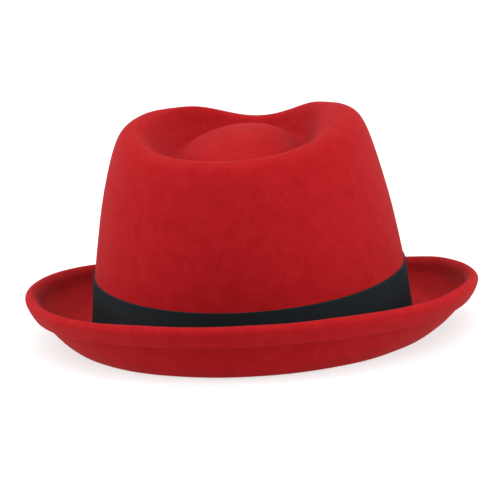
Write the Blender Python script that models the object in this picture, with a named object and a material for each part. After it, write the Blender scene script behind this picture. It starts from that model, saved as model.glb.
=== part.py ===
"""Fedora: one blocked felt, crown and turned-up brim together, with a ribbon band round the crown's foot.

Metres, +Z up. The hat stands as it does when it is put down, with the wearer's front towards -Y and the wearer's
left towards +X. The origin lies on the surface that it rests on, under the middle of its outline.

The felt is a loft. Its sections run from the brim's raw edge over the lip, down into the brim's floor, up the
crown's wall, over the rim and through the dent to the middle of the crown's top. Every section is a ring round the
head. Bearings are angles round the head from the wearer's front.
"""

from collections import namedtuple
from math import cos, exp, hypot, pi, radians, sin

import bmesh
import bpy
from mathutils import Vector

# Head opening, measured inside the felt, and the felt itself
HEAD_WIDTH = 0.168
HEAD_LENGTH = 0.201
FELT = 0.0025

# Driving sizes of the outline: the crown's height, the brim's reach outside the head and its lip's height
CROWN_HEIGHT = 0.120
BRIM_WIDTH = 0.040
BRIM_RISE = 0.030

# Valley that the dent leaves in the front of the crown's rim
VALLEY_DEPTH = 0.0096
VALLEY_SPREAD = radians(23)

# The two pinches beside the front of the crown
PINCH_DEPTH = 0.005
PINCH_BEARING = radians(42)
PINCH_SPREAD = radians(16)

# Where the lip dips: the front is snapped down, and hands have bent two places behind the sides. Each has its
# depth, bearing and spread, and the power that makes its floor flat.
DIPS = (
    (0.0055, 0, radians(41), 4),
    (0.0017, radians(-122), radians(20), 2),
    (0.0029, radians(130), radians(28), 2),
)

# Lean of the crown towards the wearer's left, as a slope, and the height that it starts from
LEAN = 0.018
LEAN_BASE = 0.03

# How far the dent lies off the crown's middle, towards the wearer's left
DENT_SHIFT = 0.004

# Ribbon band, with a lapped join at the wearer's left
RIBBON_WIDTH = 0.026
RIBBON_THICKNESS = 0.001
RIBBON_GAP = 0.0003
LAP_LENGTH = 0.012
LAP_RAMP = 0.002
LAP_EDGE = 0.0004
LAP_BEARING = radians(90)

# Facets
FELT_BEARINGS = 56
STEPS_PER_SECTION = 2
RIBBON_ROWS = 3
SAMPLES_PER_SECTION = 8
NEAREST_BEARING = radians(0.5)

# Brim sections. Reach is outside the head oval, a share of BRIM_WIDTH. Rise is the top face's height, a share of
# BRIM_RISE. Each has its value at the wearer's front, sides and back, and its share of the dips.
BrimSection = namedtuple(
    "BrimSection", "name reach_front reach_side reach_back rise_front rise_side rise_back dip"
)
BRIM_SECTIONS = [
    BrimSection("raw_edge", 0.95, 0.87, 0.65, 0.323, 0.573, 0.647, 0.75),
    BrimSection("welt", 1.016, 0.932, 0.74, 0.472, 0.726, 0.823, 0.85),
    BrimSection("lip_outside", 1.026, 0.95, 0.783, 0.594, 0.857, 0.941, 1.00),
    BrimSection("lip", 0.957, 0.872, 0.716, 0.677, 0.942, 1.039, 1.00),
    BrimSection("lip_inside", 0.87, 0.786, 0.625, 0.584, 0.849, 0.945, 1.00),
    BrimSection("wall", 0.80, 0.712, 0.517, 0.36, 0.57, 0.70, 0.70),
    BrimSection("bend", 0.63, 0.502, 0.392, 0.11, 0.266, 0.30, 0.15),
    BrimSection("floor_outside", 0.31, 0.315, 0.23, 0.062, 0.12, 0.056, 0.00),
    BrimSection("floor_inside", 0.212, 0.225, 0.135, 0.066, 0.123, 0.059, 0.00),
    BrimSection("join", 0.10, 0.10, 0.08, 0.233, 0.213, 0.107, 0.00),
]

# Crown sections. Reach is a share of the head oval's radius, rise a share of CROWN_HEIGHT, and valley and pinch are
# shares of VALLEY_DEPTH and PINCH_DEPTH. Shift is a share of DENT_SHIFT.
CrownSection = namedtuple(
    "CrownSection", "name reach_front reach_side reach_back rise_front rise_side rise_back valley pinch shift"
)
CROWN_SECTIONS = [
    CrownSection("foot", 0.996, 1.00, 0.996, 0.105, 0.09, 0.045, 0.00, 0.00, 0.00),
    CrownSection("band_top", 0.979, 0.976, 0.947, 0.321, 0.311, 0.261, 0.00, 0.10, 0.00),
    CrownSection("mid", 0.90, 0.912, 0.915, 0.616, 0.591, 0.566, 0.00, 0.45, 0.00),
    CrownSection("high", 0.83, 0.837, 0.874, 0.821, 0.816, 0.756, 0.15, 0.85, 0.00),
    CrownSection("shoulder", 0.787, 0.758, 0.832, 0.919, 0.956, 0.846, 0.50, 1.00, 0.00),
    CrownSection("rim_outside", 0.74, 0.66, 0.785, 0.974, 1.001, 0.882, 0.85, 0.85, 0.05),
    CrownSection("rim", 0.668, 0.594, 0.733, 0.996, 0.986, 0.891, 1.00, 0.55, 0.30),
    CrownSection("rim_inside", 0.62, 0.54, 0.685, 0.974, 0.955, 0.864, 0.85, 0.25, 0.75),
    CrownSection("slope", 0.575, 0.475, 0.62, 0.908, 0.885, 0.825, 0.50, 0.10, 0.80),
    CrownSection("crease", 0.51, 0.41, 0.545, 0.855, 0.822, 0.805, 0.20, 0.00, 0.70),
    CrownSection("island_side", 0.34, 0.302, 0.40, 0.908, 0.887, 0.860, 0.00, 0.00, 0.60),
    CrownSection("island_top", 0.162, 0.151, 0.20, 0.946, 0.938, 0.920, 0.00, 0.00, -0.40),
    CrownSection("middle", 0.0, 0.0, 0.0, 0.946, 0.946, 0.946, 0.00, 0.00, 0.00),
]

# Rows of the brim's outermost section and of the crown's first
LIP_OUTSIDE = 2
FOOT = len(BRIM_SECTIONS)

# Half of what the brim reaches further in front than behind, which puts the origin under the outline's middle
EVEN_OUT = BRIM_WIDTH * (BRIM_SECTIONS[LIP_OUTSIDE].reach_front - BRIM_SECTIONS[LIP_OUTSIDE].reach_back) / 2


def around(front, side, back, bearing):
    """Ease a value round the head from its front, side and back."""
    level = (front + 2 * side + back) / 4
    tip = (front - back) / 2
    fold = (front - 2 * side + back) / 4
    return level + tip * cos(bearing) + fold * cos(2 * bearing)


def bump(bearing, centre, spread, power=2):
    """A bell of height 1 round one bearing, with a flatter top at a higher even power."""
    away = (bearing - centre + pi) % (2 * pi) - pi
    return exp(-((away / spread) ** power))


def head_radius(bearing):
    """Radius of the head oval, outside the felt."""
    half_width = HEAD_WIDTH / 2 + FELT
    half_length = HEAD_LENGTH / 2 + FELT
    return 1 / hypot(sin(bearing) / half_width, cos(bearing) / half_length)


def brim_point(section, bearing):
    """Radius and height of a brim section."""
    reach = around(section.reach_front, section.reach_side, section.reach_back, bearing)
    rise = around(section.rise_front, section.rise_side, section.rise_back, bearing)
    dip = section.dip * sum(depth * bump(bearing, *spot) for depth, *spot in DIPS)
    return Vector((head_radius(bearing) + BRIM_WIDTH * reach, BRIM_RISE * rise - dip))


def crown_point(section, bearing):
    """Radius and height of a crown section, with the front valley, the pinches and the crown's lean."""
    reach = around(section.reach_front, section.reach_side, section.reach_back, bearing)
    rise = around(section.rise_front, section.rise_side, section.rise_back, bearing)
    pinch = bump(bearing, PINCH_BEARING, PINCH_SPREAD) + bump(bearing, -PINCH_BEARING, PINCH_SPREAD)
    valley = bump(bearing, 0, VALLEY_SPREAD)
    radius = head_radius(bearing) * reach - PINCH_DEPTH * section.pinch * pinch
    left = sin(bearing)
    height = CROWN_HEIGHT * rise - VALLEY_DEPTH * section.valley * valley - LEAN * left * radius * rise
    if reach > 0:
        radius += left * (LEAN * (height - LEAN_BASE) + DENT_SHIFT * section.shift)
    return Vector((radius, height))


def eased(before, start, end, after, share):
    """Point between start and end on a smooth curve through all four."""
    slope_in = (end - before) / 2
    slope_out = (after - start) / 2
    rest = 1 - share
    along = start * (1 + 2 * share) * rest**2 + end * (3 - 2 * share) * share**2
    return along + slope_in * share * rest**2 - slope_out * rest * share**2


def profile(bearing, steps):
    """Top face of the felt at one bearing, from the raw edge to the crown's middle, as radius and height."""
    knots = [brim_point(section, bearing) for section in BRIM_SECTIONS]
    knots += [crown_point(section, bearing) for section in CROWN_SECTIONS]
    first = 2 * knots[0] - knots[1]
    last = Vector((-knots[-2].x, knots[-2].y))
    padded = [first, *knots, last]
    points = []
    for before, start, end, after in zip(padded, padded[1:], padded[2:], padded[3:]):
        points += [eased(before, start, end, after, step / steps) for step in range(steps)]
    return points + [knots[-1]]


def place(point, bearing):
    """World position of a radius and height at a bearing."""
    return Vector((point.x * sin(bearing), EVEN_OUT - point.x * cos(bearing), point.y))


def felt_rings():
    """Rings of the felt's upper face, before the hat is put down."""
    bearings = [2 * pi * index / FELT_BEARINGS for index in range(FELT_BEARINGS)]
    columns = [[place(point, bearing) for point in profile(bearing, STEPS_PER_SECTION)] for bearing in bearings]
    return [list(ring) for ring in zip(*columns)]


def underside(rings):
    """Rings one felt's thickness below the upper face."""
    under = []
    count = len(rings[0])
    for row, ring in enumerate(rings[:-1]):
        inner = rings[row + 1]
        outer = rings[max(row - 1, 0)]
        below = []
        for index, corner in enumerate(ring):
            round_ring = ring[(index + 1) % count] - ring[index - 1]
            up_loft = inner[index] - outer[index]
            below.append(corner + FELT * up_loft.cross(round_ring).normalized())
        under.append(below)
    return under


def pressed(rings, level):
    """The rings with everything below a level pressed up to it, as the felt flattens where the hat rests."""
    return [[Vector((corner.x, corner.y, max(corner.z, level))) for corner in ring] for ring in rings]


def skin(mesh, rings):
    """Faces between each ring of vertices and the next."""
    for ring, following in zip(rings, rings[1:]):
        for index in range(len(ring)):
            mesh.faces.new((ring[index - 1], ring[index], following[index], following[index - 1]))


def cap(mesh, ring, middle):
    """Fan from a ring to one vertex in its middle."""
    for index in range(len(ring)):
        mesh.faces.new((ring[index - 1], ring[index], middle))


def finished(name, mesh, material, sharp_angle):
    """Object from a bmesh, its faces pointing out and shaded smooth up to an angle."""
    bmesh.ops.recalc_face_normals(mesh, faces=mesh.faces)
    data = bpy.data.meshes.new(name)
    mesh.to_mesh(data)
    mesh.free()
    data.materials.append(material)
    data.shade_smooth()
    data.set_sharp_from_angle(angle=sharp_angle)
    piece = bpy.data.objects.new(name, data)
    bpy.context.scene.collection.objects.link(piece)
    return piece


def cloth_material(name, colour, roughness):
    """Matt woven or felted cloth of one colour, given in linear light."""
    material = bpy.data.materials.new(name)
    material.use_nodes = True
    surface = material.node_tree.nodes["Principled BSDF"]
    surface.inputs["Base Color"].default_value = (*colour, 1)
    surface.inputs["Roughness"].default_value = roughness
    surface.inputs["Metallic"].default_value = 0
    return material


def make_felt_body():
    """Crown and brim, one closed felt wall, open from below."""
    rings = felt_rings()
    mesh = bmesh.new()
    upper = [[mesh.verts.new(corner) for corner in ring] for ring in pressed(rings[:-1], FELT)]
    lower = [[mesh.verts.new(corner) for corner in ring] for ring in pressed(underside(rings), 0.0)]
    skin(mesh, [*reversed(lower), *upper])
    cap(mesh, upper[-1], mesh.verts.new(rings[-1][0]))
    cap(mesh, lower[-1], mesh.verts.new(rings[-1][0] - Vector((0, 0, FELT))))
    return finished("felt_body", mesh, cloth_material("red_felt", (0.42, 0.016, 0.017), 0.9), radians(50))


def crown_wall(bearing):
    """The crown's wall from its foot upward, as close radius and height points."""
    return profile(bearing, SAMPLES_PER_SECTION)[FOOT * SAMPLES_PER_SECTION:]


def up_the_wall(wall, distance):
    """Point at a distance along the wall from its foot, and the wall's outward direction there."""
    for start, end in zip(wall, wall[1:]):
        run = (end - start).length
        if distance <= run:
            break
        distance -= run
    along = (end - start) / run
    return start + along * distance, Vector((along.y, -along.x))


def layers(bearing):
    """Thickness of ribbon at a bearing, as a number of layers: two at the lap, with a ramp and a cut edge."""
    ahead = (bearing - LAP_BEARING) * head_radius(LAP_BEARING)
    ramp = min(max((ahead + LAP_LENGTH / 2 + LAP_RAMP) / LAP_RAMP, 0), 1)
    cut = min(max((LAP_LENGTH / 2 + LAP_EDGE - ahead) / LAP_EDGE, 0), 1)
    return 1 + ramp * cut


def ribbon_bearings():
    """The felt's own bearings, with the corners of the lap in place of those that lie too near them."""
    radius = head_radius(LAP_BEARING)
    half = LAP_LENGTH / 2
    corners = [LAP_BEARING + along / radius for along in (-half - LAP_RAMP, -half, half, half + LAP_EDGE)]
    even = [2 * pi * index / FELT_BEARINGS for index in range(FELT_BEARINGS)]
    kept = [bearing for bearing in even if all(abs(bearing - corner) > NEAREST_BEARING for corner in corners)]
    return sorted(kept + corners)


def make_ribbon_band():
    """Closed ring of ribbon that lies against the crown's wall from its foot up."""
    mesh = bmesh.new()
    columns = []
    for bearing in ribbon_bearings():
        wall = crown_wall(bearing)
        inside = []
        outside = []
        for row in range(RIBBON_ROWS + 1):
            point, outward = up_the_wall(wall, RIBBON_WIDTH * row / RIBBON_ROWS)
            near = point + outward * RIBBON_GAP
            far = near + outward * RIBBON_THICKNESS * layers(bearing)
            inside.append(mesh.verts.new(place(near, bearing)))
            outside.append(mesh.verts.new(place(far, bearing)))
        columns.append([*inside, *reversed(outside)])
    skin(mesh, [*columns, columns[0]])
    return finished("ribbon_band", mesh, cloth_material("black_ribbon", (0.017, 0.019, 0.020), 0.6), radians(50))


def main():
    for old in list(bpy.data.objects):
        bpy.data.objects.remove(old, do_unlink=True)
    make_felt_body()
    make_ribbon_band()


main()
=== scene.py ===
"""Fedora: blocked wool felt with a grosgrain ribbon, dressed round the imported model.

Metres, +Z up. The wearer's front is towards -Y and the wearer's left towards +X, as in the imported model.
Bearings are angles round the head from the wearer's front. Run as a script, it makes the felt, the ribbon
and the stage.
"""

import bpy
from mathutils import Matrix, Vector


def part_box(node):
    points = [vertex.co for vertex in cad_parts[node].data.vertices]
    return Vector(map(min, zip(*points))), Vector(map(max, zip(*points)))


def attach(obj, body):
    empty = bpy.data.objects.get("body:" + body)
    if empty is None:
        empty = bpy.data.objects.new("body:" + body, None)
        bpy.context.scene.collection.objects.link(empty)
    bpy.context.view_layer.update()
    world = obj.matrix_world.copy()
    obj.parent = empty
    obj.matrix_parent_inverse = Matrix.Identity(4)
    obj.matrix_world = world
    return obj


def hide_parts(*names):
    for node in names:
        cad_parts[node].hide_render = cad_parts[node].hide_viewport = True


bl_info = {
    "name": "Fedora",
    "version": (1, 0, 0),
    "blender": (4, 5, 0),
    "location": "3D View > Sidebar > Fedora",
    "description": "A blocked felt hat with a ribbon band, and the stage that it is seen on",
    "category": "Object",
}

from collections import namedtuple
from math import cos, pi, radians, sin

import bmesh
import bpy
import numpy as np
from bpy.props import FloatProperty, FloatVectorProperty, PointerProperty
from bpy.types import Operator, Panel, PropertyGroup
from mathutils import Quaternion, Vector, noise

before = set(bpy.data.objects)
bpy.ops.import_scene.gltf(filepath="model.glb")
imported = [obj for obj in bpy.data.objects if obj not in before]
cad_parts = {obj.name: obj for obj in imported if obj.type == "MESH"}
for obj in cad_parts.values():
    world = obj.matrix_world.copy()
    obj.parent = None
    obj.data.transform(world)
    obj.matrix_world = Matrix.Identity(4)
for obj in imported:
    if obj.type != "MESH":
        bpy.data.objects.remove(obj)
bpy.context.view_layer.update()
FELT_NODE = "felt_body"
RIBBON_NODE = "ribbon_band"
FLOOR_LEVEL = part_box(FELT_NODE)[0].z

# Fineness of the meshes
FELT_BEARINGS = 240
STEPS_PER_SECTION = 6
NOSE_STEPS = 5
COLUMNS_PER_RIB = 4
OVAL_SAMPLES = 2880

# How much the raw edge's rounding takes from the ends of both faces, in rows
ROWS_IN_NOSE = 2

# Brim sections. Reach is outside the head oval, a share of the brim's width. Rise is the top face's height,
# a share of the brim's rise. Each has its value at the wearer's front, sides and back, and its share of the
# dips.
BrimSection = namedtuple(
    "BrimSection", "name reach_front reach_side reach_back rise_front rise_side rise_back dip"
)
BRIM_SECTIONS = [
    BrimSection("raw_edge", 0.95, 0.838, 0.648, 0.323, 0.515, 0.63, 0.75),
    BrimSection("welt", 1.016, 0.922, 0.738, 0.472, 0.70, 0.815, 0.85),
    BrimSection("lip_outside", 1.026, 0.95, 0.783, 0.594, 0.857, 0.941, 1.00),
    BrimSection("lip", 0.957, 0.872, 0.716, 0.677, 0.942, 1.039, 1.00),
    BrimSection("lip_inside", 0.87, 0.786, 0.625, 0.584, 0.849, 0.945, 1.00),
    BrimSection("wall", 0.80, 0.712, 0.517, 0.36, 0.57, 0.70, 0.70),
    BrimSection("bend", 0.63, 0.502, 0.392, 0.11, 0.266, 0.30, 0.15),
    BrimSection("floor_outside", 0.31, 0.315, 0.23, 0.062, 0.12, 0.056, 0.00),
    BrimSection("floor_inside", 0.212, 0.225, 0.135, 0.066, 0.123, 0.059, 0.00),
    BrimSection("join", 0.10, 0.10, 0.08, 0.233, 0.213, 0.107, 0.00),
]

# Crown sections. Reach is a share of the head oval's radius, rise a share of the crown's height, and valley
# and pinch are shares of their depths. Shift is the share of the dent's place off the middle.
CrownSection = namedtuple(
    "CrownSection", "name reach_front reach_side reach_back rise_front rise_side rise_back valley pinch shift"
)
CROWN_SECTIONS = [
    CrownSection("foot", 0.996, 1.011, 0.996, 0.105, 0.09, 0.045, 0.00, 0.00, 0.00),
    CrownSection("band_top", 0.979, 0.98, 0.947, 0.321, 0.311, 0.261, 0.00, 0.10, 0.00),
    CrownSection("mid", 0.90, 0.912, 0.915, 0.616, 0.591, 0.566, 0.00, 0.45, 0.00),
    CrownSection("high", 0.83, 0.837, 0.874, 0.821, 0.816, 0.756, 0.15, 0.85, 0.00),
    CrownSection("shoulder", 0.787, 0.758, 0.832, 0.919, 0.956, 0.846, 0.50, 1.00, 0.00),
    CrownSection("rim_outside", 0.74, 0.66, 0.785, 0.974, 1.001, 0.882, 0.85, 0.85, 0.05),
    CrownSection("rim", 0.668, 0.594, 0.733, 0.996, 0.986, 0.891, 1.00, 0.55, 0.30),
    CrownSection("rim_inside", 0.62, 0.54, 0.685, 0.974, 0.955, 0.864, 0.85, 0.25, 0.75),
    CrownSection("slope", 0.575, 0.482, 0.62, 0.908, 0.875, 0.825, 0.50, 0.10, 0.80),
    CrownSection("crease", 0.51, 0.41, 0.545, 0.855, 0.815, 0.802, 0.20, 0.00, 0.55),
    CrownSection("island_side", 0.34, 0.302, 0.40, 0.908, 0.887, 0.860, 0.00, 0.00, 0.40),
    CrownSection("island_top", 0.162, 0.151, 0.20, 0.946, 0.938, 0.920, 0.00, 0.00, -0.40),
    CrownSection("middle", 0.0, 0.0, 0.0, 0.946, 0.946, 0.946, 0.00, 0.00, 0.00),
]

# Rows of the brim's outermost section and of the crown's first
LIP_OUTSIDE = 2
FOOT = len(BRIM_SECTIONS)

# Where the lip dips: the front is snapped down, and hands have bent two places behind the sides. Each has its
# depth, bearing and spread, and the power that makes its floor flat.
DIPS = (
    (0.0055, 0, radians(41), 4),
    (0.0017, radians(-122), radians(20), 2),
    (0.0029, radians(130), radians(28), 2),
)

# Valley that the dent leaves in the front of the rim, and the two pinches beside the front
VALLEY_SPREAD = radians(23)
PINCH_BEARING = radians(42)
PINCH_SPREAD = radians(16)

# Lean of the crown towards the wearer's left, as a slope, and the height that it starts from
LEAN = 0.018
LEAN_BASE = 0.03

# How far the dent lies off the crown's middle, towards the wearer's left
DENT_SHIFT = 0.004

# Slow unevenness that blocking by hand leaves in the felt: the size of its swells
SWELL_SIZE = 0.028

# Softness of the bend where the felt comes to lie on the surface, and the bend's height as a multiple of it
SETTLE = 0.0008
SETTLE_REACH = 6

# Sections of the crown's wall that the ribbon lies against
WALL_SECTIONS = 4

# Lapped join of the ribbon, on the wearer's left
LAP_BEARING = radians(90)
LAP_LENGTH = 0.012
LAP_RAMP = 0.002
LAP_EDGE = 0.0006

# Ribbon's cross-section: rows across its outer face and back across its inner one, as shares of its width,
# and the width of its woven edges, which thin out to a share of its thickness
RIBBON_ROWS = (0.0, 0.010, 0.028, 0.055, 0.14, 0.26, 0.38, 0.5, 0.62, 0.74, 0.86, 0.945, 0.972, 0.990, 1.0)
INNER_ROWS = (1.0, 0.75, 0.5, 0.25, 0.0)
SELVEDGE_WIDTH = 0.0008
SELVEDGE_THIN = 0.45

# Felt's patterns. Real wool fibres are 0.02 mm thick, so the tangle is drawn as coarse as it needs to show.
CLOUD_SIZE = 0.009
TUFT_SIZE = 0.0024
FIBRE_SIZE = 0.0007

# How much of each pattern stands in the felt's relief, and the heights that show only shade and only nap
CLOUD_SHARE = 0.6
TUFT_SHARE = 0.5
FIBRE_SHARE = 0.6
SHADE_HEIGHT = 0.55
NAP_HEIGHT = 1.15

# Ribbon's yarn, 0.15 mm in the real weave and drawn at twice that. The wave pattern repeats 20 / (2 pi)
# times per metre at a scale of 1.
YARN_SIZE = 0.0003
WAVES_PER_METRE = 20 / (2 * pi)

# Half of the floor's width
FLOOR_HALF = 12.0

# Heights, as sines of elevations, between which the room's brightness changes
HORIZON_FULL = 0.10
HORIZON_ENDS = 0.14
CEILING_STARTS = 0.55
CEILING_FULL = 0.75

# Softboxes beside the hat: their size, how far from it they stand, and the point that they face
SOFTBOX_SIZE = 0.9
SOFTBOX_AWAY = (1.3, 0.3, 0.5)
SOFTBOX_AIM = (0, 0, 0.06)

# Camera, matched to the photograph: it looks at the back of the hat from a little above
CAMERA_AZIMUTH = radians(187.94)
CAMERA_ELEVATION = radians(10.71)
CAMERA_ROLL = radians(-2.55)
CAMERA_DISTANCE = 1.6
CAMERA_TARGET = Vector((-0.0006, 0.0049, 0.0453))
CAMERA_LENS = 209.66
CAMERA_SENSOR = 36.0
CAMERA_NEAR = 0.1
CAMERA_FAR = 50


def linear(code):
    """Linear colour of an sRGB hex code."""
    shares = [int(code[start:start + 2], 16) / 255 for start in (1, 3, 5)]
    return tuple(share / 12.92 if share <= 0.04045 else ((share + 0.055) / 1.055) ** 2.4 for share in shares)


class FedoraFeltSettings(PropertyGroup):
    """Sizes and colours of the felt"""

    head_width: FloatProperty(
        name="Head width", description="Width of the head opening inside the felt",
        default=0.168, min=0.12, max=0.22, unit="LENGTH",
    )
    head_length: FloatProperty(
        name="Head length", description="Length of the head opening inside the felt",
        default=0.201, min=0.14, max=0.26, unit="LENGTH",
    )
    thickness: FloatProperty(
        name="Thickness", description="Thickness of the felt",
        default=0.0025, min=0.001, max=0.004, unit="LENGTH",
    )
    crown_height: FloatProperty(
        name="Crown height", description="Height that the crown's sections are shares of",
        default=0.120, min=0.08, max=0.16, unit="LENGTH",
    )
    brim_width: FloatProperty(
        name="Brim width", description="Reach of the brim outside the head",
        default=0.040, min=0.02, max=0.08, unit="LENGTH",
    )
    brim_rise: FloatProperty(
        name="Brim rise", description="Height of the turned-up lip",
        default=0.030, min=0.01, max=0.05, unit="LENGTH",
    )
    valley_depth: FloatProperty(
        name="Front valley", description="Depth of the valley in the front of the rim",
        default=0.0096, min=0.0, max=0.02, unit="LENGTH",
    )
    pinch_depth: FloatProperty(
        name="Pinch", description="Depth of the two pinches beside the front",
        default=0.005, min=0.0, max=0.015, unit="LENGTH",
    )
    unevenness: FloatProperty(
        name="Unevenness", description="Depth of the slow swells that hand blocking leaves",
        default=0.00035, min=0.0, max=0.002, unit="LENGTH",
    )
    shade: FloatVectorProperty(
        name="Shade", description="Colour of the felt between its fibres",
        default=linear("#8c0e12"), min=0.0, max=1.0, size=3, subtype="COLOR",
    )
    nap: FloatVectorProperty(
        name="Nap", description="Colour of the fibres that stand up",
        default=linear("#9f181c"), min=0.0, max=1.0, size=3, subtype="COLOR",
    )


class FedoraRibbonSettings(PropertyGroup):
    """Sizes and colours of the ribbon"""

    width: FloatProperty(
        name="Width", description="Width of the ribbon",
        default=0.026, min=0.01, max=0.05, unit="LENGTH",
    )
    thickness: FloatProperty(
        name="Thickness", description="Thickness of the ribbon at its ribs",
        default=0.0007, min=0.0004, max=0.002, unit="LENGTH",
    )
    gap: FloatProperty(
        name="Gap", description="Air between the ribbon and the felt",
        default=0.0001, min=0.0, max=0.002, unit="LENGTH",
    )
    rib_pitch: FloatProperty(
        name="Rib pitch", description="Distance from one rib to the next",
        default=0.0011, min=0.0006, max=0.003, unit="LENGTH",
    )
    rib_depth: FloatProperty(
        name="Rib depth", description="Depth of the grooves between the ribs",
        default=0.00022, min=0.0, max=0.0006, unit="LENGTH",
    )
    groove: FloatVectorProperty(
        name="Groove", description="Colour of the yarn down between the ribs",
        default=linear("#0a1114"), min=0.0, max=1.0, size=3, subtype="COLOR",
    )
    crest: FloatVectorProperty(
        name="Crest", description="Colour of the yarn on the ribs",
        default=linear("#121e22"), min=0.0, max=1.0, size=3, subtype="COLOR",
    )


class FedoraStageSettings(PropertyGroup):
    """Floor and light"""

    floor: FloatVectorProperty(
        name="Floor", description="Colour of the floor",
        default=linear("#9c9c9c"), min=0.0, max=1.0, size=3, subtype="COLOR",
    )
    glow: FloatProperty(
        name="Glow", description="Brightness of the light that comes up through the floor",
        default=0.66, min=0.0, max=10.0,
    )
    ceiling: FloatProperty(
        name="Ceiling", description="Brightness of the wide softbox overhead",
        default=2.38, min=0.0, max=10.0,
    )
    walls: FloatProperty(
        name="Walls", description="Brightness of the room between the ceiling and the horizon",
        default=0.42, min=0.0, max=10.0,
    )
    horizon: FloatProperty(
        name="Horizon", description="Brightness of the backdrop, low down all round",
        default=0.8, min=0.0, max=10.0,
    )
    side_power: FloatProperty(
        name="Side lights", description="Power of each softbox beside the hat",
        default=10.5, min=0.0, max=200.0, subtype="POWER",
    )


def around(front, side, back, bearings):
    """Ease a value round the head from its front, side and back."""
    level = (front + 2 * side + back) / 4
    tip = (front - back) / 2
    fold = (front - 2 * side + back) / 4
    return level + tip * np.cos(bearings) + fold * np.cos(2 * bearings)


def bell(bearings, centre, spread, power=2):
    """A bell of height 1 round one bearing, with a flatter top at a higher even power."""
    away = (bearings - centre + pi) % (2 * pi) - pi
    return np.exp(-((away / spread) ** power))


def head_radius(felt, bearings):
    """Radius of the head oval, outside the felt."""
    half_width = felt.head_width / 2 + felt.thickness
    half_length = felt.head_length / 2 + felt.thickness
    return 1 / np.hypot(np.sin(bearings) / half_width, np.cos(bearings) / half_length)


def brim_row(felt, section, bearings):
    """Radius and height of a brim section at each bearing."""
    reach = around(section.reach_front, section.reach_side, section.reach_back, bearings)
    rise = around(section.rise_front, section.rise_side, section.rise_back, bearings)
    dip = section.dip * sum(depth * bell(bearings, *spot) for depth, *spot in DIPS)
    radius = head_radius(felt, bearings) + felt.brim_width * reach
    return np.stack([radius, felt.brim_rise * rise - dip], axis=-1)


def crown_row(felt, section, bearings):
    """Radius and height of a crown section at each bearing, with the front valley and the pinches."""
    reach = around(section.reach_front, section.reach_side, section.reach_back, bearings)
    rise = around(section.rise_front, section.rise_side, section.rise_back, bearings)
    pinch = bell(bearings, PINCH_BEARING, PINCH_SPREAD) + bell(bearings, -PINCH_BEARING, PINCH_SPREAD)
    valley = bell(bearings, 0, VALLEY_SPREAD)
    radius = head_radius(felt, bearings) * reach - felt.pinch_depth * section.pinch * pinch
    height = felt.crown_height * rise - felt.valley_depth * section.valley * valley
    left = np.sin(bearings)
    height = height - LEAN * left * radius * rise
    radius = radius + left * (LEAN * (height - LEAN_BASE) + DENT_SHIFT * section.shift) * (reach > 0)
    return np.stack([radius, height], axis=-1)


def eased(before, start, end, after, share):
    """Points between start and end on a smooth curve through all four."""
    slope_in = (end - before) / 2
    slope_out = (after - start) / 2
    rest = 1 - share
    along = start * (1 + 2 * share) * rest**2 + end * (3 - 2 * share) * share**2
    return along + slope_in * share * rest**2 - slope_out * rest * share**2


def place(felt, points, bearings):
    """World positions of radii and heights at their bearings."""
    widest = BRIM_SECTIONS[LIP_OUTSIDE]
    even_out = felt.brim_width * (widest.reach_front - widest.reach_back) / 2
    radius = points[..., 0]
    to_left = radius * np.sin(bearings)
    to_back = even_out - radius * np.cos(bearings)
    return np.stack([to_left, to_back, points[..., 1]], axis=-1)


def facing(points):
    """Direction that the upper face looks in at each radius and height, row after row."""
    along = np.gradient(points, axis=0)
    out = np.stack([along[..., 1], -along[..., 0]], axis=-1)
    return out / np.linalg.norm(out, axis=-1, keepdims=True)


def swells(positions):
    """Slow unevenness of the felt at each position, from about -1 to 1."""
    flat = positions.reshape(-1, 3) / SWELL_SIZE
    values = np.array([noise.noise(Vector(spot)) for spot in flat])
    return values.reshape(positions.shape[:-1])


def profile(felt, bearings, steps):
    """Radii and heights of the felt's upper face at each bearing, from the raw edge to the crown's middle."""
    knots = [brim_row(felt, section, bearings) for section in BRIM_SECTIONS]
    knots += [crown_row(felt, section, bearings) for section in CROWN_SECTIONS]
    first = 2 * knots[0] - knots[1]
    last = knots[-2] * (-1, 1)
    padded = [first, *knots, last]
    rows = []
    for before, start, end, after in zip(padded, padded[1:], padded[2:], padded[3:]):
        rows += [eased(before, start, end, after, step / steps) for step in range(steps)]
    points = np.array([*rows, knots[-1]])
    uneven = felt.unevenness * swells(place(felt, points, bearings))
    points = points + facing(points) * uneven[..., None]
    points[-1, :, 0] = 0
    return points


def below(rings, thickness):
    """Rings one felt's thickness under the upper face."""
    round_ring = np.roll(rings, -1, axis=1) - np.roll(rings, 1, axis=1)
    up_loft = np.gradient(rings, axis=0)
    down = np.cross(up_loft, round_ring)
    return rings + thickness * down / np.linalg.norm(down, axis=-1, keepdims=True)


def settled(rings, level):
    """The rings eased up to a level where they would lie under it."""
    over = (rings[..., 2] - level) / SETTLE
    lifted = level + SETTLE * np.logaddexp(0, over)
    result = rings.copy()
    result[..., 2] = np.where(over > SETTLE_REACH, rings[..., 2], lifted)
    return result


def nose(top, under, inside):
    """Half-round rings from the lower face to the upper one, over the raw edge."""
    middle = (top + under) / 2
    half = (top - under) / 2
    depth = np.linalg.norm(half, axis=-1, keepdims=True)
    inward = inside - top
    inward = inward / np.linalg.norm(inward, axis=-1, keepdims=True)
    turns = np.linspace(-pi / 2, pi / 2, 2 * NOSE_STEPS + 1)
    return [middle + half * sin(turn) + inward * depth * (1 - cos(turn)) for turn in turns]


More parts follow.
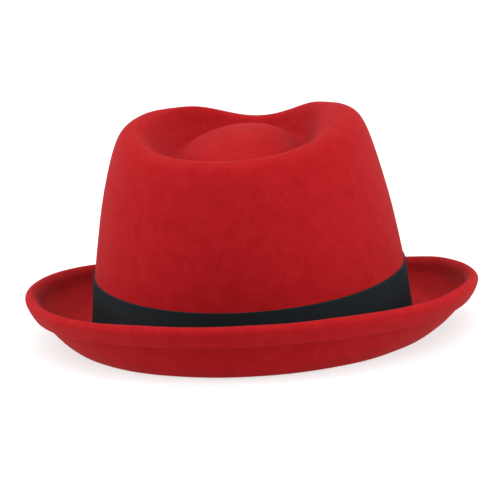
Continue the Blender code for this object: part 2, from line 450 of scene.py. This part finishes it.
def mesh_piece(name, points, faces, material):
    """Smooth object from points and faces, with its faces pointing out."""
    data = bpy.data.meshes.new(name)
    data.from_pydata(points, [], faces)
    mesh = bmesh.new()
    mesh.from_mesh(data)
    bmesh.ops.recalc_face_normals(mesh, faces=mesh.faces)
    mesh.to_mesh(data)
    mesh.free()
    data.materials.append(material)
    data.shade_smooth()
    piece = bpy.data.objects.new(name, data)
    bpy.context.scene.collection.objects.link(piece)
    return piece


def skin(rows, columns):
    """Faces between rows of points that each close on themselves."""
    faces = []
    for row in range(rows - 1):
        for column in range(columns):
            following = (column + 1) % columns
            here = row * columns
            above = here + columns
            faces.append((here + column, here + following, above + following, above + column))
    return faces


def add_node(tree, kind, settings=None, inputs=None, output=0):
    """Add a node with its settings and its inputs' values or links, and return one of its outputs."""
    node = tree.nodes.new(kind)
    for name, value in (settings or {}).items():
        setattr(node, name, value)
    sockets = {socket.identifier: socket for socket in node.inputs}
    for name, value in (inputs or {}).items():
        if isinstance(value, bpy.types.NodeSocket):
            tree.links.new(value, sockets[name])
        else:
            sockets[name].default_value = value
    return node.outputs[output] if node.outputs else None


def new_material(name):
    """Empty node material and its tree."""
    material = bpy.data.materials.new(name)
    material.use_nodes = True
    material.node_tree.nodes.clear()
    return material, material.node_tree


def wool_felt(felt):
    """Wool felt, blocked over steam and brushed.

    Short tangled fibres scatter the light, so it looks dull and soft, with a faint cloudiness and a pale
    edge.
    """
    material, tree = new_material("wool_felt")
    spot = add_node(tree, "ShaderNodeTexCoord", output="Object")
    cloud = add_node(
        tree, "ShaderNodeTexNoise", inputs={"Vector": spot, "Scale": 1 / CLOUD_SIZE, "Detail": 3.0}
    )
    tuft = add_node(
        tree, "ShaderNodeTexNoise",
        inputs={"Vector": spot, "Scale": 1 / TUFT_SIZE, "Detail": 3.0, "Distortion": 0.8},
    )
    fibre = add_node(
        tree, "ShaderNodeTexNoise",
        inputs={"Vector": spot, "Scale": 1 / FIBRE_SIZE, "Detail": 3.0, "Roughness": 0.6, "Distortion": 1.4},
    )
    height = 0.0
    for pattern, part in ((cloud, CLOUD_SHARE), (tuft, TUFT_SHARE), (fibre, FIBRE_SHARE)):
        height = add_node(
            tree, "ShaderNodeMath", {"operation": "MULTIPLY_ADD"},
            {"Value": pattern, "Value_001": part, "Value_002": height},
        )
    share = add_node(
        tree, "ShaderNodeMapRange",
        inputs={
            "Value": height, "From Min": SHADE_HEIGHT, "From Max": NAP_HEIGHT, "To Min": 0.0, "To Max": 1.0,
        },
    )
    colour = add_node(
        tree, "ShaderNodeMix", {"data_type": "RGBA"},
        {"Factor_Float": share, "A_Color": (*felt.shade, 1), "B_Color": (*felt.nap, 1)}, output=2,
    )
    rough = add_node(
        tree, "ShaderNodeMapRange",
        inputs={"Value": fibre, "From Min": 0.3, "From Max": 0.7, "To Min": 0.96, "To Max": 0.86},
    )
    relief = add_node(
        tree, "ShaderNodeBump", inputs={"Strength": 0.7, "Distance": 0.0004, "Height": height}
    )
    surface = add_node(
        tree, "ShaderNodeBsdfPrincipled",
        inputs={
            "Base Color": colour, "Roughness": rough, "Normal": relief, "Specular IOR Level": 0.05,
            "Sheen Weight": 0.09, "Sheen Roughness": 0.35, "Sheen Tint": (*linear("#f0a09c"), 1),
        },
    )
    add_node(tree, "ShaderNodeOutputMaterial", inputs={"Surface": surface})
    return material


def grosgrain(ribbon):
    """Rayon grosgrain, woven with thick ribs across a fine warp.

    The yarn is black with a cool cast. The ribs' crests catch a dull gleam and their grooves stay darker.
    """
    material, tree = new_material("rayon_grosgrain")
    spot = add_node(tree, "ShaderNodeUVMap", {"uv_map": "weave"})
    yarn = add_node(
        tree, "ShaderNodeTexWave", {"bands_direction": "Y"},
        {"Vector": spot, "Scale": 1 / (WAVES_PER_METRE * YARN_SIZE), "Distortion": 0.6, "Detail": 1.0},
    )
    cloud = add_node(
        tree, "ShaderNodeTexNoise", inputs={"Vector": spot, "Scale": 1 / CLOUD_SIZE, "Detail": 3.0}
    )
    thread = add_node(
        tree, "ShaderNodeMath", {"operation": "MULTIPLY"}, {"Value": yarn, "Value_001": cloud}
    )
    colour = add_node(
        tree, "ShaderNodeMix", {"data_type": "RGBA"},
        {"Factor_Float": thread, "A_Color": (*ribbon.groove, 1), "B_Color": (*ribbon.crest, 1)}, output=2,
    )
    relief = add_node(
        tree, "ShaderNodeBump", inputs={"Strength": 0.4, "Distance": 0.0001, "Height": yarn}
    )
    surface = add_node(
        tree, "ShaderNodeBsdfPrincipled",
        inputs={
            "Base Color": colour, "Roughness": 0.68, "Normal": relief, "Specular IOR Level": 0.12,
            "Sheen Weight": 0.03, "Sheen Roughness": 0.5, "Sheen Tint": (*linear("#a8bcc8"), 1),
        },
    )
    add_node(tree, "ShaderNodeOutputMaterial", inputs={"Surface": surface})
    return material


def opal_acrylic(stage):
    """Opal acrylic sheet, satin and nearly white, evenly lit from beneath as the top of a light table."""
    material, tree = new_material("opal_acrylic")
    surface = add_node(
        tree, "ShaderNodeBsdfPrincipled",
        inputs={
            "Base Color": (*stage.floor, 1), "Roughness": 0.95, "Specular IOR Level": 0.1,
            "Emission Color": (*linear("#ffffff"), 1), "Emission Strength": stage.glow,
        },
    )
    add_node(tree, "ShaderNodeOutputMaterial", inputs={"Surface": surface})
    return material


def make_felt(felt):
    """Crown and brim, one wall of felt that is open from below and rounded at its raw edge."""
    bearings = np.arange(FELT_BEARINGS) * (2 * pi / FELT_BEARINGS)
    rings = place(felt, profile(felt, bearings, STEPS_PER_SECTION), bearings)
    under = settled(below(rings[:-1], felt.thickness), 0.0)
    upper = settled(rings[:-1], felt.thickness)
    edge = nose(upper[0], under[0], upper[1])
    loft = np.array([*under[:ROWS_IN_NOSE - 1:-1], *edge, *upper[ROWS_IN_NOSE:]])
    faces = skin(len(loft), FELT_BEARINGS)
    inner_middle = loft.shape[0] * FELT_BEARINGS
    outer_middle = inner_middle + 1
    last = (loft.shape[0] - 1) * FELT_BEARINGS
    for column in range(FELT_BEARINGS):
        following = (column + 1) % FELT_BEARINGS
        faces.append((following, column, inner_middle))
        faces.append((last + column, last + following, outer_middle))
    top = rings[-1][0]
    points = [*loft.reshape(-1, 3), top - (0, 0, felt.thickness), top]
    return mesh_piece("felt_hat_body", points, faces, wool_felt(felt))


def foot_steps(felt, start):
    """Close bearings once round the foot of the crown, and the distances along it from each to the next."""
    bearings = start + np.linspace(0, 2 * pi, OVAL_SAMPLES + 1)
    foot = place(felt, crown_row(felt, CROWN_SECTIONS[0], bearings), bearings)
    return bearings, np.linalg.norm(np.diff(foot, axis=0), axis=-1)


def even_bearings(felt, count):
    """Bearings that step evenly along the foot of the crown, starting at the lap."""
    bearings, steps = foot_steps(felt, LAP_BEARING)
    run = np.concatenate([[0], np.cumsum(steps)])
    return np.interp(np.arange(count) * run[-1] / count, run, bearings)


def up_the_wall(wall, distances):
    """Points at distances along each bearing's wall from its foot, and the wall's outward direction there."""
    steps = np.linalg.norm(np.diff(wall, axis=0), axis=-1)
    runs = np.concatenate([np.zeros((1, wall.shape[1])), np.cumsum(steps, axis=0)])
    out = facing(wall)
    found = np.empty((len(distances), wall.shape[1], 4))
    for column in range(wall.shape[1]):
        values = np.concatenate([wall[:, column], out[:, column]], axis=-1)
        for part in range(4):
            found[:, column, part] = np.interp(distances, runs[:, column], values[:, part])
    return found[..., :2], found[..., 2:]


def layers(ahead):
    """Layers of ribbon at distances past the middle of the lap: two there, with a ramp and a folded end."""
    ramp = np.clip((ahead + LAP_LENGTH / 2 + LAP_RAMP) / LAP_RAMP, 0, 1)
    cut = np.clip((LAP_LENGTH / 2 + LAP_EDGE - ahead) / LAP_EDGE, 0, 1)
    return 1 + ramp**2 * (3 - 2 * ramp) * np.sqrt(cut)


def make_ribbon(felt, ribbon):
    """Closed band of ribbed ribbon against the foot of the crown, lapped on the wearer's left."""
    length = foot_steps(felt, 0)[1].sum()
    count = round(length / ribbon.rib_pitch) * COLUMNS_PER_RIB
    bearings = even_bearings(felt, count)
    along = np.arange(count) * length / count
    ahead = (along + length / 2) % length - length / 2
    wall = profile(felt, bearings, STEPS_PER_SECTION)[FOOT * STEPS_PER_SECTION:]
    wall = wall[:WALL_SECTIONS * STEPS_PER_SECTION]
    shares = np.array(RIBBON_ROWS)
    edge = np.clip(np.minimum(shares, 1 - shares) * ribbon.width / SELVEDGE_WIDTH, 0, 1)
    body = SELVEDGE_THIN + (1 - SELVEDGE_THIN) * np.sqrt(1 - (1 - edge) ** 2)
    groove = (np.cos(2 * pi * np.arange(count) / COLUMNS_PER_RIB) + 1) / 2
    near, outward = up_the_wall(wall, shares * ribbon.width)
    thick = ribbon.thickness * body[:, None] * layers(ahead)[None, :]
    thick = thick - ribbon.rib_depth * edge[:, None] * groove[None, :]
    outer = near + outward * (ribbon.gap + thick)[..., None]
    inner, outward = up_the_wall(wall, np.array(INNER_ROWS) * ribbon.width)
    inner = inner + outward * ribbon.gap
    loft = place(felt, np.concatenate([outer, inner]), bearings)
    rows = len(loft)
    faces = skin(rows, count)
    for column in range(count):
        following = (column + 1) % count
        last = (rows - 1) * count
        faces.append((last + column, last + following, following, column))
    piece = mesh_piece("grosgrain_ribbon", loft.reshape(-1, 3), faces, grosgrain(ribbon))
    across = np.concatenate([shares, np.array(INNER_ROWS)]) * ribbon.width
    weave = np.stack(np.broadcast_arrays(along[None, :], across[:, None]), axis=-1).reshape(-1, 2)
    corners = np.empty(len(piece.data.loops), np.int32)
    piece.data.loops.foreach_get("vertex_index", corners)
    layer = piece.data.uv_layers.new(name="weave")
    layer.uv.foreach_set("vector", weave[corners].astype(np.float32).ravel())
    return piece, length


def area_light(name, size, power, position, target):
    """Square softbox that faces a point and is hidden from the camera."""
    data = bpy.data.lights.new(name, "AREA")
    data.shape = "SQUARE"
    data.size = size
    data.energy = power
    light = bpy.data.objects.new(name, data)
    light.location = position
    light.rotation_mode = "QUATERNION"
    light.rotation_quaternion = (Vector(target) - Vector(position)).to_track_quat("-Z", "Y")
    light.visible_camera = False
    bpy.context.scene.collection.objects.link(light)
    return light


def make_floor(stage):
    """Wide flat floor that the hat rests on."""
    ends = (-FLOOR_HALF, FLOOR_HALF)
    corners = [(ends[0], ends[0], 0), (ends[1], ends[0], 0), (ends[1], ends[1], 0), (ends[0], ends[1], 0)]
    floor = mesh_piece("floor", corners, [(0, 1, 2, 3)], opal_acrylic(stage))
    floor.location.z = FLOOR_LEVEL


def make_room(stage):
    """White room: a bright ceiling, dimmer walls and a bright backdrop at the horizon."""
    world = bpy.data.worlds.new("white_room")
    world.use_nodes = True
    tree = world.node_tree
    tree.nodes.clear()
    way = add_node(tree, "ShaderNodeTexCoord", output="Generated")
    height = add_node(tree, "ShaderNodeSeparateXYZ", inputs={"Vector": way}, output="Z")
    ceiling = add_node(
        tree, "ShaderNodeMapRange", {"interpolation_type": "SMOOTHSTEP"},
        {"Value": height, "From Min": CEILING_STARTS, "From Max": CEILING_FULL,
         "To Min": stage.walls, "To Max": stage.ceiling},
    )
    horizon = add_node(
        tree, "ShaderNodeMapRange", {"interpolation_type": "SMOOTHSTEP"},
        {"Value": height, "From Min": HORIZON_FULL, "From Max": HORIZON_ENDS,
         "To Min": stage.horizon, "To Max": 0.0},
    )
    strength = add_node(
        tree, "ShaderNodeMath", {"operation": "MAXIMUM"}, {"Value": ceiling, "Value_001": horizon}
    )
    light = add_node(
        tree, "ShaderNodeBackground", inputs={"Strength": strength, "Color": (*linear("#ffffff"), 1)}
    )
    add_node(tree, "ShaderNodeOutputWorld", inputs={"Surface": light})
    bpy.context.scene.world = world


def make_lights(stage):
    """White room and a softbox on each side."""
    make_room(stage)
    for side in (-1, 1):
        place_at = (side * SOFTBOX_AWAY[0], *SOFTBOX_AWAY[1:])
        area_light("side_softbox", SOFTBOX_SIZE, stage.side_power, place_at, SOFTBOX_AIM)


def make_camera():
    """Camera at the photograph's viewing angle, and its colours shown as they are."""
    data = bpy.data.cameras.new("camera")
    data.lens = CAMERA_LENS
    data.sensor_width = CAMERA_SENSOR
    data.clip_start = CAMERA_NEAR
    data.clip_end = CAMERA_FAR
    camera = bpy.data.objects.new("camera", data)
    level = cos(CAMERA_ELEVATION)
    back = Vector((sin(CAMERA_AZIMUTH) * level, -cos(CAMERA_AZIMUTH) * level, sin(CAMERA_ELEVATION)))
    camera.location = CAMERA_TARGET + back * CAMERA_DISTANCE
    camera.rotation_mode = "QUATERNION"
    camera.rotation_quaternion = (-back).to_track_quat("-Z", "Y") @ Quaternion((0, 0, 1), CAMERA_ROLL)
    bpy.context.scene.collection.objects.link(camera)
    bpy.context.scene.camera = camera
    bpy.context.scene.view_settings.view_transform = "Standard"


class FEDORA_OT_felt(Operator):
    """Make the felt body of the hat"""

    bl_idname = "fedora.felt"
    bl_label = "Make Felt"

    def execute(self, context):
        piece = make_felt(context.scene.fedora_felt)
        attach(piece, "root")
        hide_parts(FELT_NODE)
        return {"FINISHED"}


class FEDORA_OT_ribbon(Operator):
    """Make the ribbon round the foot of the crown"""

    bl_idname = "fedora.ribbon"
    bl_label = "Make Ribbon"

    def execute(self, context):
        ribbon = context.scene.fedora_ribbon
        piece, length = make_ribbon(context.scene.fedora_felt, ribbon)
        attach(piece, "root")
        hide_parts(RIBBON_NODE)
        return {"FINISHED"}


class FEDORA_OT_stage(Operator):
    """Make the floor, the lights and the camera"""

    bl_idname = "fedora.stage"
    bl_label = "Make Stage"

    def execute(self, context):
        stage = context.scene.fedora_stage
        make_floor(stage)
        make_lights(stage)
        make_camera()
        return {"FINISHED"}


class FEDORA_PT_panel(Panel):
    """Sizes, colours and buttons of the hat"""

    bl_label = "Fedora"
    bl_idname = "FEDORA_PT_panel"
    bl_space_type = "VIEW_3D"
    bl_region_type = "UI"
    bl_category = "Fedora"

    def draw(self, context):
        scene = context.scene
        groups = (
            (scene.fedora_felt, FEDORA_OT_felt), (scene.fedora_ribbon, FEDORA_OT_ribbon),
            (scene.fedora_stage, FEDORA_OT_stage),
        )
        for settings, operator in groups:
            box = self.layout.box()
            for name in settings.__annotations__:
                box.prop(settings, name)
            box.operator(operator.bl_idname)


CLASSES = (
    FedoraFeltSettings, FedoraRibbonSettings, FedoraStageSettings,
    FEDORA_OT_felt, FEDORA_OT_ribbon, FEDORA_OT_stage, FEDORA_PT_panel,
)


def register():
    """Register the classes and give each scene its settings."""
    for kind in CLASSES:
        bpy.utils.register_class(kind)
    bpy.types.Scene.fedora_felt = PointerProperty(type=FedoraFeltSettings)
    bpy.types.Scene.fedora_ribbon = PointerProperty(type=FedoraRibbonSettings)
    bpy.types.Scene.fedora_stage = PointerProperty(type=FedoraStageSettings)


def unregister():
    """Take the settings and the classes away again."""
    del bpy.types.Scene.fedora_stage
    del bpy.types.Scene.fedora_ribbon
    del bpy.types.Scene.fedora_felt
    for kind in reversed(CLASSES):
        bpy.utils.unregister_class(kind)


def main():
    """Make the stage, the felt and the ribbon."""
    register()
    bpy.ops.fedora.stage()
    bpy.ops.fedora.felt()
    bpy.ops.fedora.ribbon()


if __name__ == "__main__":
    main()
